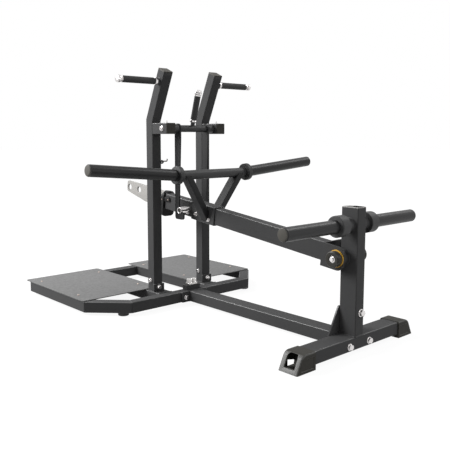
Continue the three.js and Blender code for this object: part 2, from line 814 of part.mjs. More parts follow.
sides.forEach(([name, s]) => {
  const way = v3(0, s, 0);
  const start = v3(0, 0, 0);
  add(
    leverGroup,
    `pivot_ring_${name}`,
    turned(start, way, [
      [shaftBore, earOuter + clearance],
      [ringThick / 2, earOuter + clearance],
      [ringThick / 2, ringOut],
      [shaftBore, ringOut],
      [shaftBore, earOuter + clearance],
    ]),
    orange,
  );
  add(
    leverGroup,
    `pivot_cap_${name}`,
    turned(start, way, [
      [shaftBore, ringOut + clearance],
      [pivotCapThick / 2, ringOut + clearance],
      [pivotCapThick / 2, capOut - pivotCapTaper],
      [pivotCapThick / 2 - pivotCapTaper, capOut],
      [capRecessThick / 2, capOut],
      [capRecessThick / 2, capOut - capRecessDeep],
      [shaftBore, capOut - capRecessDeep],
      [shaftBore, ringOut + clearance],
    ]),
    capPlastic,
  );
});
const sleeveInnerWide = leverWide + 2 * clearance;
const sleeveOuterWide = sleeveInnerWide + 2 * sleeveWall;
const sleeveInnerDeep = leverDeep + 2 * clearance;
const sleeveOuterDeep = sleeveInnerDeep + 2 * sleeveWall;
const sleeve = bar([v3(-sleeveStart, 0, 0), v3(-sleeveStart - sleeveLong, 0, 0)], v3(0, 1, 0),
  sleeveOuterWide, sleeveOuterDeep, tubeCorner).subtract(
  bar([v3(overrun - sleeveStart, 0, 0), v3(-sleeveStart - sleeveLong - overrun, 0, 0)], v3(0, 1, 0),
    sleeveInnerWide, sleeveInnerDeep, tubeCorner),
);
add(leverGroup, "lever_sleeve", sleeve, blackPaint);
const crossbarEnds = [-hornFlangeAt, hornFlangeAt].map((y) => v3(-crossbarAlong, y, crossbarHigh));
add(leverGroup, "crossbar", rod(crossbarEnds[0], crossbarEnds[1], crossbarThick), blackPaint);
const strutAngle = THREE.MathUtils.degToRad(strutLean);
const strutRoot = sleeveOuterWide / 2 + clearance;
sides.forEach(([name, s]) => {
  const foot = v3(-crossbarAlong, s * strutRoot, -strutFoot);
  const way = v3(0, s * Math.sin(strutAngle), Math.cos(strutAngle));
  const head = foot.clone().addScaledVector(way, (crossbarHigh + strutFoot) / Math.cos(strutAngle));
  const cutEnds = [v3(0, 1, 0), v3(0, 0, 1)];
  const whole = bar([foot, head], v3(1, 0, 0), strutWide, strutDeep, tubeCorner, cutEnds);
  const strut = whole.subtract(rod(crossbarEnds[0], crossbarEnds[1], crossbarThick + 2 * clearance));
  const parts = strut.decompose().sort((a, b) => b.volume() - a.volume());
  add(leverGroup, `strut_${name}`, parts[0], blackPaint);
  const rise = THREE.MathUtils.degToRad(hornRise);
  const rootY = hornFlangeAt + (crossbarThick / 2) * Math.tan(rise) + clearance;
  const root = v3(-crossbarAlong, s * rootY, crossbarHigh);
  const out = v3(0, s * Math.cos(rise), Math.sin(rise));
  const full = hornFlangeLong + hornLong;
  add(
    leverGroup,
    `lever_horn_${name}`,
    turned(root, root.clone().add(out), [
      [0, 0],
      [hornFlangeThick / 2 - rodChamfer, 0],
      [hornFlangeThick / 2, rodChamfer],
      [hornFlangeThick / 2, hornFlangeLong - rodChamfer],
      [hornFlangeThick / 2 - rodChamfer, hornFlangeLong],
      [hornThick / 2, hornFlangeLong],
      [hornThick / 2, full - 2 * rodChamfer],
      [hornThick / 2 - 2 * rodChamfer, full],
      [0, full],
    ]),
    hornBlack,
  );
});

// Catch pin through the lever, with an end cap outside each hook
const pinCapIn = hookOuter + pinCapGap;
const pinHalf = pinCapIn + pinCapLong;
add(
  leverGroup,
  "catch_pin",
  turned(v3(-pinAlong, -pinHalf, 0), v3(-pinAlong, pinHalf, 0), [
    [0, 0],
    [pinCapThick / 2 - rodChamfer, 0],
    [pinCapThick / 2, rodChamfer],
    [pinCapThick / 2, pinCapLong],
    [pinThick / 2, pinCapLong],
    [pinThick / 2, 2 * pinHalf - pinCapLong],
    [pinCapThick / 2, 2 * pinHalf - pinCapLong],
    [pinCapThick / 2, 2 * pinHalf - rodChamfer],
    [pinCapThick / 2 - rodChamfer, 2 * pinHalf],
    [0, 2 * pinHalf],
  ]),
  chrome,
);

// End plate, the side plate with its bent latch rod, and the belt plate with its two holes
const plateX = leverEnd - clearance - endPlateThick;
const plateLow = -endPlateDrop;
add(
  leverGroup,
  "end_plate",
  slab(
    "yz",
    rounded(box2(-endPlateWide / 2, plateLow, endPlateWide / 2, plateLow + endPlateHigh), endPlateCorner),
    plateX,
    endPlateThick,
  ),
  blackPaint,
);
const leverSide = -leverWide / 2;
const tabMiddle = leverSide - sideTabThick / 2;
const rodFoot = v3(leverEnd + latchRodInset, tabMiddle, sideTabUp);
const rodTop = rodFoot.clone().setZ(latchRodHigh);
const latch = block(
  v3(leverEnd, leverSide - sideTabThick, sideTabUp - sideTabHigh / 2),
  v3(leverEnd + sideTabLong, leverSide, sideTabUp + sideTabHigh / 2),
)
  .add(bar([rodFoot, rodTop, rodTop.clone().setX(rodTop.x + latchRodLong)], v3(0, 1, 0),
    latchRodThick, latchRodThick, latchRodThick / 3));
add(leverGroup, "latch_rod", latch, hornBlack);
const beltRoot = plateX - clearance;
const beltTip = beltRoot - beltPlateLong;
const beltLow = beltPlateTop - beltPlateHigh;
const beltTipLow = beltPlateTop - beltPlateTipHigh;
let beltPlate = slab(
  "xz",
  rounded(
    [
      v2(beltRoot, beltLow),
      v2(beltRoot, beltPlateTop),
      v2(beltTip, beltPlateTop),
      v2(beltTip, beltTipLow),
      v2(beltTip + beltPlateTaper, beltLow),
    ],
    [0, 0, beltPlateCorner, beltPlateCorner, beltPlateCorner],
  ),
  -beltPlateThick / 2,
  beltPlateThick,
);
[0, 1].forEach((k) => {
  const x = beltTip + beltHoleEnd + k * beltHolePitch;
  beltPlate = beltPlate.subtract(
    rod(v3(x, -beltPlateThick, beltHoleHigh), v3(x, beltPlateThick, beltHoleHigh), beltHole),
  );
});
add(leverGroup, "belt_plate", beltPlate, bareSteel);

export default machine;
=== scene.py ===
# Belt squat machine on a white studio floor. Metres, +X towards the rear post, Z up.
import json
import math

import bmesh
import bpy
from mathutils import Matrix, Vector


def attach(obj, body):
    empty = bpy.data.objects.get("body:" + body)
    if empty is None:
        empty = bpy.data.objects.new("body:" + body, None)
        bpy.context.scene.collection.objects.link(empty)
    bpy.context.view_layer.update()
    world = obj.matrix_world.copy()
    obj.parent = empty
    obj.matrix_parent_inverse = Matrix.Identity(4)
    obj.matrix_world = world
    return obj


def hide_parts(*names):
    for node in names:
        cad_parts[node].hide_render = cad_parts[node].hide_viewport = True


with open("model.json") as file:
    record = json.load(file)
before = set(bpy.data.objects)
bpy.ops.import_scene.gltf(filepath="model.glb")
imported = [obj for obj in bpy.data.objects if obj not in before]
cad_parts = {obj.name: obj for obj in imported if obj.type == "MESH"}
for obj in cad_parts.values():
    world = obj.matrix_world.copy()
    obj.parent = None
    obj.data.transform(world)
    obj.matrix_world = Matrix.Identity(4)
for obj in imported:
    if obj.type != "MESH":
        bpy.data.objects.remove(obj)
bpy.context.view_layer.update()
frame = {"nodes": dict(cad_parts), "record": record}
nodes = frame["nodes"]
print("frame loaded")

# Camera
photoCamera = {
    "place": (2.1902, -1.9124, 0.8069),
    "lookDown": 6.816,  # degrees below the horizon
    "turn": 48.045,  # degrees from looking along +Y
    "lens": 50.65,
    "sensor": 36,
    "shift": (0.0118, -0.0323),
    "farthest": 200,
}


def addCamera(settings):
    bpy.ops.object.select_all(action="DESELECT")
    tip = math.radians(90 - settings["lookDown"])
    turn = math.radians(settings["turn"])
    bpy.ops.object.camera_add(location=settings["place"], rotation=(tip, 0, turn))
    camera = bpy.context.active_object
    camera.name = "photo_camera"
    camera.data.sensor_width = settings["sensor"]
    camera.data.lens = settings["lens"]
    camera.data.shift_x, camera.data.shift_y = settings["shift"]
    camera.data.clip_end = settings["farthest"]
    bpy.context.scene.camera = camera


addCamera(photoCamera)

# Studio: a white floor that keeps the shadow, a pale world and soft lamps
studio = {
    "floorHalf": 30,
    "floorSunk": 0.0004,  # just under the feet
    "floorWhite": 0.14,
    "floorGlow": (0.93, 1.0),  # near the machine and far from it
    "glowReach": (1.6, 4.0),
    "worldFill": 0.23,
    "worldSeen": 1,
    "lamps": [
        # name, place, aim, width and height, power
        ("key_lamp", (-2.2, -2.6, 2.3), (0.0, 0.0, 0.6), (2.6, 2.6), 180),
        ("side_lamp", (2.5, 0.4, 0.8), (0.8, 0.0, 0.25), (1.0, 1.0), 7),
        ("edge_lamp_back", (1.0, 2.8, 3.3), (0.2, 0.0, 0.3), (0.8, 0.9), 32),
        ("edge_lamp_front", (-2.4, -0.4, 3.1), (0.2, 0.0, 0.3), (0.8, 1.6), 42),
    ],
}


def seenDirectly(tree):
    # 1 for what the camera sees, straight or in gloss and glass
    path = tree.nodes.new("ShaderNodeLightPath")
    seen = path.outputs["Is Camera Ray"]
    for ray in ("Is Glossy Ray", "Is Transmission Ray"):
        either = tree.nodes.new("ShaderNodeMath")
        either.operation = "MAXIMUM"
        tree.links.new(seen, either.inputs[0])
        tree.links.new(path.outputs[ray], either.inputs[1])
        seen = either.outputs[0]
    return seen


def mixSeen(tree, unseen, seen):
    # one shader for the light that bounces, another for what is seen directly
    mix = tree.nodes.new("ShaderNodeMixShader")
    tree.links.new(seenDirectly(tree), mix.inputs["Fac"])
    tree.links.new(unseen.outputs[0], mix.inputs[1])
    tree.links.new(seen.outputs[0], mix.inputs[2])
    return mix


def makeFloorWhite(settings):
    material = bpy.data.materials.new("studio_white")
    material.use_nodes = True
    tree = material.node_tree
    tree.nodes.clear()
    out = tree.nodes.new("ShaderNodeOutputMaterial")
    paper = tree.nodes.new("ShaderNodeBsdfDiffuse")
    paper.inputs["Color"].default_value = (settings["floorWhite"],) * 3 + (1,)
    # the glow fades in away from the machine
    place = tree.nodes.new("ShaderNodeTexCoord")
    reach = tree.nodes.new("ShaderNodeVectorMath")
    reach.operation = "LENGTH"
    tree.links.new(place.outputs["Object"], reach.inputs[0])
    fade = tree.nodes.new("ShaderNodeMapRange")
    fade.inputs["From Min"].default_value, fade.inputs["From Max"].default_value = settings["glowReach"]
    fade.inputs["To Min"].default_value, fade.inputs["To Max"].default_value = settings["floorGlow"]
    tree.links.new(reach.outputs["Value"], fade.inputs["Value"])
    glow = tree.nodes.new("ShaderNodeEmission")
    tree.links.new(fade.outputs["Result"], glow.inputs["Strength"])
    dark = tree.nodes.new("ShaderNodeEmission")
    dark.inputs["Strength"].default_value = 0
    both = tree.nodes.new("ShaderNodeAddShader")
    tree.links.new(paper.outputs[0], both.inputs[0])
    tree.links.new(mixSeen(tree, dark, glow).outputs[0], both.inputs[1])
    tree.links.new(both.outputs[0], out.inputs["Surface"])
    return material


def addFloor(settings):
    bpy.ops.object.select_all(action="DESELECT")
    bpy.ops.mesh.primitive_plane_add(
        size=2 * settings["floorHalf"], location=(0, 0, -settings["floorSunk"])
    )
    floor = bpy.context.active_object
    floor.name = "studio_floor"
    floor.data.materials.append(makeFloorWhite(settings))


def addWorld(settings):
    world = bpy.data.worlds.new("studio_world")
    bpy.context.scene.world = world
    world.use_nodes = True
    tree = world.node_tree
    tree.nodes.clear()
    out = tree.nodes.new("ShaderNodeOutputWorld")
    fill = tree.nodes.new("ShaderNodeBackground")
    fill.inputs["Strength"].default_value = settings["worldFill"]
    white = tree.nodes.new("ShaderNodeBackground")
    white.inputs["Strength"].default_value = settings["worldSeen"]
    for background in (fill, white):
        background.inputs["Color"].default_value = (1, 1, 1, 1)
    tree.links.new(mixSeen(tree, fill, white).outputs[0], out.inputs["Surface"])


def addLamps(settings):
    for name, place, aim, width, power in settings["lamps"]:
        bpy.ops.object.select_all(action="DESELECT")
        turn = (Vector(aim) - Vector(place)).to_track_quat("-Z", "Y").to_euler()
        bpy.ops.object.light_add(type="AREA", location=place, rotation=turn)
        lamp = bpy.context.active_object
        lamp.name = name
        lamp.data.shape = "ELLIPSE"
        lamp.data.size, lamp.data.size_y = width
        lamp.data.energy = power


bpy.context.scene.view_settings.view_transform = "Standard"
addFloor(studio)
addWorld(studio)
addLamps(studio)
print("studio ready")

# Materials: what every finish starts from, then one dictionary for each
anyFinish = {
    "metallic": 0.0,
    "gloss": 0.5,
    "stretch": (1, 1, 1),
    "grainDetail": 3,
    "bumpDeep": 0.0004,
    "cloud": 9,
    "cloudDetail": 4,
    "tone": 0.12,  # how far the colour wanders
    "sheenSpread": 0.05,
    "edgeFrom": (0.38, 0.48, 0.92, 0.97),  # where the edges' gloss and painted highlight start, are full, fade and end
    "maskSoft": 0.0004,
}
hornCollar = {"roughness": 0.5, "colour": (0.07, 0.07, 0.071)}
# the horns' end rims are lighter, a painted highlight
paintedRimHighlight = {"colour": (0.16, 0.155, 0.15)}
topEndGrey = {"roughness": 0.45, "colour": (0.42, 0.41, 0.4)}

paintFinish = {
    "colour": (0.045, 0.045, 0.046),
    "roughness": 0.85,
    "grain": 1400,
    "bump": 0.06,
    "edgeRoughness": 0.27,
    # the lighter upward edges are a painted highlight
    "paintedEdgeHighlight": (0.13, 0.13, 0.131),
}
postFinish = {**paintFinish, "greyAbove": 0.5428}
roundFinish = {
    "colour": (0.045, 0.045, 0.046),
    "roughness": 0.5,
    "grain": 1400,
    "bump": 0.08,
    "gloss": 0.35,
}
# a darker copy of the black coat for the struts and hooks: painted shade
paintedShadeFinish = {**roundFinish, "colour": (0.021, 0.021, 0.022), "gloss": 0.22}
hornFinish = {
    "colour": (0.02, 0.02, 0.021),
    "roughness": 0.4,
    "grain": 900,
    "bump": 0.0,
    "gloss": 0.25,
}
leverHornFinish = {**hornFinish, "collarOut": 0.2165, "endFrom": 0.6503}
storageFinish = {**hornFinish, "collarOut": 0.1105, "endFrom": 0.386}
treadFinish = {
    "colour": (0.175, 0.175, 0.175),
    "roughness": 0.65,
    "grain": 330,
    "bump": 0.5,
    "gloss": 0.2,
    "cloud": 95,
    "tone": 0.42,
}
bareFinish = {
    "colour": (0.32, 0.312, 0.3),
    "roughness": 0.5,
    "grain": 300,
    "bump": 0.06,
    "metallic": 0.9,
    "stretch": (0.08, 1, 1),
}
platedFinish = {
    "colour": (0.68, 0.66, 0.655),
    "roughness": 0.15,
    "grain": 500,
    "bump": 0.01,
    "metallic": 1.0,
}
stopFinish = {
    "colour": (0.6, 0.585, 0.57),
    "roughness": 0.28,
    "grain": 300,
    "bump": 0.04,
    "metallic": 0.9,
    "edgeRoughness": 0.12,
    # near-white rims on the upward edges, a painted highlight
    "paintedEdgeHighlight": (0.97, 0.96, 0.95),
    "edgeFrom": (0.25, 0.35, 0.88, 0.96),
}
warmFinish = {
    "colour": (0.48, 0.39, 0.34),
    "roughness": 0.35,
    "grain": 500,
    "bump": 0.05,
    "metallic": 0.9,
}
capFinish = {
    "colour": (0.035, 0.033, 0.028),
    "roughness": 0.9,
    "grain": 1100,
    "bump": 0.1,
    "gloss": 0.55,
    "edgeRoughness": 0.42,
    # a lighter colour on the slope and upward edges, a painted highlight
    "paintedEdgeHighlight": (0.042, 0.041, 0.037),
    "edgeFrom": (0.25, 0.35, 0.86, 0.93),
}
plugFinish = {"colour": (0.085, 0.08, 0.07), "roughness": 0.6, "grain": 1100, "bump": 0.1, "gloss": 0.3}
latchFinish = {"colour": (0.008, 0.008, 0.008), "roughness": 0.5, "grain": 900, "bump": 0.05, "gloss": 0.2}
rubberFinish = {"colour": (0.020, 0.020, 0.020), "roughness": 0.7, "grain": 800, "bump": 0.3}
ringFinish = {"colour": (1.0, 0.56, 0.06), "roughness": 0.35, "grain": 600, "bump": 0.05}


def sizeAlong(tree, source, axis):
    # how far the place or the normal goes along an axis, either way
    coordinate = tree.nodes.new("ShaderNodeTexCoord")
    parts = tree.nodes.new("ShaderNodeSeparateXYZ")
    tree.links.new(coordinate.outputs[source], parts.inputs[0])
    size = tree.nodes.new("ShaderNodeMath")
    size.operation = "ABSOLUTE"
    tree.links.new(parts.outputs[axis], size.inputs[0])
    return size.outputs[0]


def roundedEdges(tree, turned):
    # 1 on the rounded edges, which face between up and sideways; it carries their gloss and a painted
    # highlight
    off, on = (0, 0, 0, 1), (1, 1, 1, 1)
    ramp = tree.nodes.new("ShaderNodeValToRGB")
    stops = ramp.color_ramp.elements
    stops[0].position, stops[1].position = turned[0], turned[1]
    stops[0].color, stops[1].color = off, on
    stops.new(turned[2]).color = on
    stops.new(turned[3]).color = off
    tree.links.new(sizeAlong(tree, "Normal", "Z"), ramp.inputs["Fac"])
    return ramp.outputs["Color"]


def maskFrom(tree, axis, start, soft):
    # 1 past start along the axis; with a soft below zero, 1 short of it
    step = tree.nodes.new("ShaderNodeMapRange")
    step.inputs["From Min"].default_value = start - soft
    step.inputs["From Max"].default_value = start + soft
    tree.links.new(sizeAlong(tree, "Object", axis), step.inputs["Value"])
    return step.outputs["Result"]


def mixNumber(tree, mask, number, other):
    mix = tree.nodes.new("ShaderNodeMix")
    tree.links.new(mask, mix.inputs["Factor"])
    tree.links.new(number, mix.inputs["A"])
    mix.inputs["B"].default_value = other
    return mix.outputs["Result"]


def mixColour(tree, mask, colour, other):
    mix = tree.nodes.new("ShaderNodeMix")
    mix.data_type = "RGBA"
    tree.links.new(mask, mix.inputs["Factor"])
    tree.links.new(colour, mix.inputs["A"])
    mix.inputs["B"].default_value = (*other, 1)
    return mix.outputs["Result"]


def addNoise(tree, spread, scale, detail):
    noise = tree.nodes.new("ShaderNodeTexNoise")
    noise.inputs["Scale"].default_value = scale
    noise.inputs["Detail"].default_value = detail
    tree.links.new(spread.outputs["Vector"], noise.inputs["Vector"])
    return noise.outputs["Fac"]


def makeFinish(name, own):
    finish = {**anyFinish, **own}
    material = bpy.data.materials.new(name)
    material.use_nodes = True
    tree = material.node_tree
    shader = tree.nodes["Principled BSDF"]
    shader.inputs["Metallic"].default_value = finish["metallic"]
    shader.inputs["Specular IOR Level"].default_value = finish["gloss"]
    place = tree.nodes.new("ShaderNodeTexCoord")
    spread = tree.nodes.new("ShaderNodeMapping")
    spread.inputs["Scale"].default_value = finish["stretch"]
    tree.links.new(place.outputs["Object"], spread.inputs["Vector"])
    # fine grain of the coat
    bump = tree.nodes.new("ShaderNodeBump")
    bump.inputs["Strength"].default_value = finish["bump"]
    bump.inputs["Distance"].default_value = finish["bumpDeep"]
    grain = addNoise(tree, spread, finish["grain"], finish["grainDetail"])
    tree.links.new(grain, bump.inputs["Height"])
    tree.links.new(bump.outputs["Normal"], shader.inputs["Normal"])
    # broad unevenness of the tone and the sheen
    cloud = addNoise(tree, spread, finish["cloud"], finish["cloudDetail"])
    colour, tone = Vector(finish["colour"]), finish["tone"]
    blend = tree.nodes.new("ShaderNodeMix")
    blend.data_type = "RGBA"
    blend.inputs["A"].default_value = (*(colour * (1 - tone)), 1)
    blend.inputs["B"].default_value = (*(colour * (1 + tone)), 1)
    tree.links.new(cloud, blend.inputs["Factor"])
    tint = blend.outputs["Result"]
    uneven = tree.nodes.new("ShaderNodeMapRange")
    uneven.inputs["To Min"].default_value = finish["roughness"] - finish["sheenSpread"]
    uneven.inputs["To Max"].default_value = finish["roughness"] + finish["sheenSpread"]
    tree.links.new(cloud, uneven.inputs["Value"])
    sheen = uneven.outputs["Result"]
    # edges facing between up and sideways get a lower roughness and a lighter colour, which is a painted
    # highlight
    if "edgeRoughness" in finish:
        edges = roundedEdges(tree, finish["edgeFrom"])
        sheen = mixNumber(tree, edges, sheen, finish["edgeRoughness"])
        tint = mixColour(tree, edges, tint, finish["paintedEdgeHighlight"])
    if "collarOut" in finish:  # a horn's collar and neck keep the matte coat
        collar = maskFrom(tree, "Y", finish["collarOut"], -finish["maskSoft"])
        sheen = mixNumber(tree, collar, sheen, hornCollar["roughness"])
        tint = mixColour(tree, collar, tint, hornCollar["colour"])
    if "endFrom" in finish:  # and its end's rim is lighter, a painted highlight where its chamfer catches the light
        rim = maskFrom(tree, "Y", finish["endFrom"], finish["maskSoft"])
        tint = mixColour(tree, rim, tint, paintedRimHighlight["colour"])
    if "greyAbove" in finish:  # the open tube's top end, above a height, is a lighter grey
        topEndMask = maskFrom(tree, "Z", finish["greyAbove"], finish["maskSoft"])
        sheen = mixNumber(tree, topEndMask, sheen, topEndGrey["roughness"])
        tint = mixColour(tree, topEndMask, tint, topEndGrey["colour"])
    tree.links.new(tint, shader.inputs["Base Color"])
    tree.links.new(sheen, shader.inputs["Roughness"])
    return material


finishes = {
    "black_paint": makeFinish("black_powder_coat", paintFinish),
    "horn_black": makeFinish("satin_black_enamel", hornFinish),
    "lever_horn_black": makeFinish("satin_black_enamel_long", leverHornFinish),
    "storage_horn_black": makeFinish("satin_black_enamel_short", storageFinish),
    "post_paint": makeFinish("black_coat_grey_top_end", postFinish),
    "deep_black": makeFinish("deep_black_coat", latchFinish),
    "horn_plug": makeFinish("brown_grey_plug", plugFinish),
    "painted_shade_coat": makeFinish("black_coat_with_painted_shade", paintedShadeFinish),
    "round_paint": makeFinish("black_coat_on_rounds", roundFinish),
    "plate_grey": makeFinish("grey_tread_coat", treadFinish),
    "bare_steel": makeFinish("brushed_steel", bareFinish),
    "plated_steel": makeFinish("zinc_plate", platedFinish),
    "stop_steel": makeFinish("steel_with_painted_edge_highlights", stopFinish),
    "cap_plastic": makeFinish("moulded_cap_plastic", capFinish),
    "rubber": makeFinish("black_rubber", rubberFinish),
    "orange_ring": makeFinish("orange_bearing_plastic", ringFinish),
    "warm_zinc": makeFinish("warm_zinc_plate", warmFinish),
}

# Nodes whose finish isn't the one of their slot, by the start of the name
ownLooks = {
    "lever_horn": "lever_horn_black",
    "storage_horn": "storage_horn_black",
    "upright_cap": "horn_plug",
    "stop_bolts": "stop_steel",
    # struts and hooks take the darker coat, painted shade
    "strut": "painted_shade_coat",
    "hook": "painted_shade_coat",
    "rear_post": "post_paint",
    "crossbar": "round_paint",
    "catch_tube": "round_paint",
    "pivot_hub": "round_paint",
}
for part in frame["record"]["subparts"]:
    look = part["material_slot"]
    for start, ownLook in ownLooks.items():
        if part["node"].startswith(start):
            look = ownLook
    node = nodes[part["node"]]
    node.data.materials.clear()
    node.data.materials.append(finishes[look])
print("finishes assigned")

# Places and sizes are given in millimetres, x from the rear tube's middle line
originX = 142.5
touch = 1e-5  # metres within which places count as one
facing = 0.9  # least part of a unit normal for a face that looks that way
squarely = 0.99  # the same for a face that looks straight that way
bothSides = (("left", -1), ("right", 1))


def mm(size):
    return size / 1000


def spot(x, y, z):
    return Vector((mm(x - originX), mm(y), mm(z)))


def facesUp(face):
    return face.normal.z > facing


def facesEitherWay(face):
    return abs(face.normal.z) > facing


def clearPick():
    if bpy.context.mode != "OBJECT":
        bpy.ops.object.mode_set(mode="OBJECT")
    bpy.ops.object.select_all(action="DESELECT")


def activate(piece):
    clearPick()
    piece.select_set(True)
    bpy.context.view_layer.objects.active = piece


def editPiece(piece):
    activate(piece)
    bpy.ops.object.mode_set(mode="EDIT")


def pick(piece, wanted, what="FACE"):
    # in edit mode, selects what the test says
    bpy.ops.mesh.select_mode(type=what)
    bpy.ops.mesh.select_all(action="DESELECT")
    shape = bmesh.from_edit_mesh(piece.data)
    rows = {"FACE": shape.faces, "EDGE": shape.edges, "VERT": shape.verts}[what]
    for row in rows:
        if wanted(row):
            row.select_set(True)
    bmesh.update_edit_mesh(piece.data)


def ease(piece, wanted, width, steps, what="FACE"):
    # rounds the edges of what the test says
    editPiece(piece)
    pick(piece, wanted, what)
    bpy.ops.mesh.bevel(offset=mm(width), segments=steps)
    bpy.ops.object.mode_set(mode="OBJECT")


def settle(piece):
    # moves the object's place into its mesh and recalculates its normals
    activate(piece)
    bpy.ops.object.transform_apply(location=True, rotation=True, scale=True)
    bpy.ops.object.mode_set(mode="EDIT")
    bpy.ops.mesh.select_all(action="SELECT")
    bpy.ops.mesh.normals_make_consistent(inside=False)
    bpy.ops.object.mode_set(mode="OBJECT")


def finishPiece(piece, name, body, slot, smooth=35, look=None):
    settle(piece)
    piece.name = name
    piece.data.name = name
    bpy.ops.object.shade_smooth_by_angle(angle=math.radians(smooth))
    piece.data.materials.clear()
    piece.data.materials.append(finishes[look or slot])
    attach(piece, body)
    return piece


def joinInto(first, other):
    activate(first)
    other.select_set(True)
    bpy.ops.object.join()
    return first


def cutWith(piece, *cutters):
    for cutter in cutters:
        activate(piece)
        cut = piece.modifiers.new("cut", "BOOLEAN")
        cut.operation = "DIFFERENCE"
        cut.object = cutter
        cut.solver = "EXACT"
        bpy.ops.object.modifier_apply(modifier=cut.name)
        bpy.data.objects.remove(cutter)


def addBlock(low, high):
    clearPick()
    low, high = spot(*low), spot(*high)
    bpy.ops.mesh.primitive_cube_add(size=1, location=(low + high) / 2)
    block = bpy.context.active_object
    block.scale = high - low
    bpy.ops.object.transform_apply(location=True, rotation=True, scale=True)
    return block


def addWedge(low, high, slope):
    # a block whose outer side leans in towards its top
    wedge = addBlock(low, high)
    outer, top = spot(*low).y, spot(*high).z
    editPiece(wedge)
    pick(wedge, lambda v: v.co.z > top - touch and v.co.y < outer + touch, "VERT")
    bpy.ops.transform.translate(value=(0, mm(slope), 0))
    bpy.ops.object.mode_set(mode="OBJECT")
    return wedge


def addDrum(radius, long, sides=32, at=0.0):
    # a drum on +Z from at to at + long
    clearPick()
    bpy.ops.mesh.primitive_cylinder_add(
        vertices=sides, radius=mm(radius), depth=mm(long), location=(0, 0, mm(at + long / 2))
    )
    drum = bpy.context.active_object
    bpy.ops.object.transform_apply(location=True, rotation=True, scale=True)
    return drum


def turnBar(profile, sides):
    # a turned bar on +Z from steps of radius and height
    clearPick()
    radius, height = profile[0]
    bpy.ops.mesh.primitive_circle_add(
        vertices=sides, radius=mm(radius), fill_type="NGON", location=(0, 0, mm(height))
    )
    bar = bpy.context.active_object
    bpy.ops.object.transform_apply(location=True, rotation=True, scale=True)
    editPiece(bar)
    bpy.ops.mesh.select_all(action="SELECT")
    for nextRadius, nextHeight in profile[1:]:
        rise = mm(nextHeight - height)
        bpy.ops.mesh.extrude_region_move(TRANSFORM_OT_translate={"value": (0, 0, rise)})
        grow = nextRadius / radius
        bpy.ops.transform.resize(value=(grow, grow, 1), center_override=(0, 0, mm(nextHeight)))
        radius, height = nextRadius, nextHeight
    bpy.ops.object.mode_set(mode="OBJECT")
    return bar


def copyTo(master, name, where, axis, body, slot, size=1.0, spin=0.0, look=None):
    # a copy with its own mesh, its +Z laid along the axis
    piece = master.copy()
    piece.data = master.data.copy()
    bpy.context.scene.collection.objects.link(piece)
    lay = Vector(axis).normalized().to_track_quat("Z", "Y").to_matrix().to_4x4()
    turn = Matrix.Rotation(math.radians(spin), 4, "Z")
    piece.data.transform(Matrix.Translation(spot(*where)) @ lay @ turn @ Matrix.Scale(size, 4))
    return finishPiece(piece, name, body, slot, look=look)


# Foot caps: rounded wedge with a sunk panel on each side, a socket for the tube and a carrying hole
footCap = {
    "low": (900, -355, 0),
    "high": (988, -257, 66),
    "slope": 32,
    "round": 6,
    "roundSteps": 5,
    "cornerRound": 17,
    "cornerSteps": 7,
    "panelInset": 9,
    "panelRim": 1.2,
    "panelSunk": 1.3,
    "holeLow": (921, -380, 15),
    "holeHigh": (967, -290, 62.5),
    "holeCorner": 10,
    "holeCornerSteps": 6,
    "holeFootCorner": 3,
    "holeFootSteps": 3,
    "rimRound": 2.2,
    "rimSteps": 3,
    "rimReach": 0.1,
    "hollowLow": (904, -346, 5),
    "hollowHigh": (984, -271, 61),
    "hollowSlope": 28,
    "socketLow": (906.2, -268.3, 13.7),
    "socketHigh": (981.8, -200, 64.3),
    "windowLow": (890, -300, 0),
    "windowHigh": (915, -280, 20),
    # y and z of the window's corners, in the flank away from the post, by outer and upper
    "windowCorners": {
        (True, True): (-309, 27),
        (False, True): (-272, 19),
        (False, False): (-272, 2.5),
        (True, False): (-309, 3),
    },
    "smooth": 40,
}


def modelWindow(size):
    window = addBlock(size["windowLow"], size["windowHigh"])
    middle = (spot(*size["windowLow"]) + spot(*size["windowHigh"])) / 2
    for v in window.data.vertices:
        y, z = size["windowCorners"][(v.co.y < middle.y, v.co.z > middle.z)]
        v.co.y, v.co.z = mm(y), mm(z)
    return window


def modelCarryHole(size):
    hole = addBlock(size["holeLow"], size["holeHigh"])
    middle = (spot(*size["holeLow"]) + spot(*size["holeHigh"])) / 2

    def alongY(edge, upper):
        a, b = (v.co for v in edge.verts)
        return abs(a.y - b.y) > touch and (a.z > middle.z) == upper

    ease(hole, lambda e: alongY(e, True), size["holeCorner"], size["holeCornerSteps"], "EDGE")
    ease(hole, lambda e: alongY(e, False), size["holeFootCorner"], size["holeFootSteps"], "EDGE")
    return hole


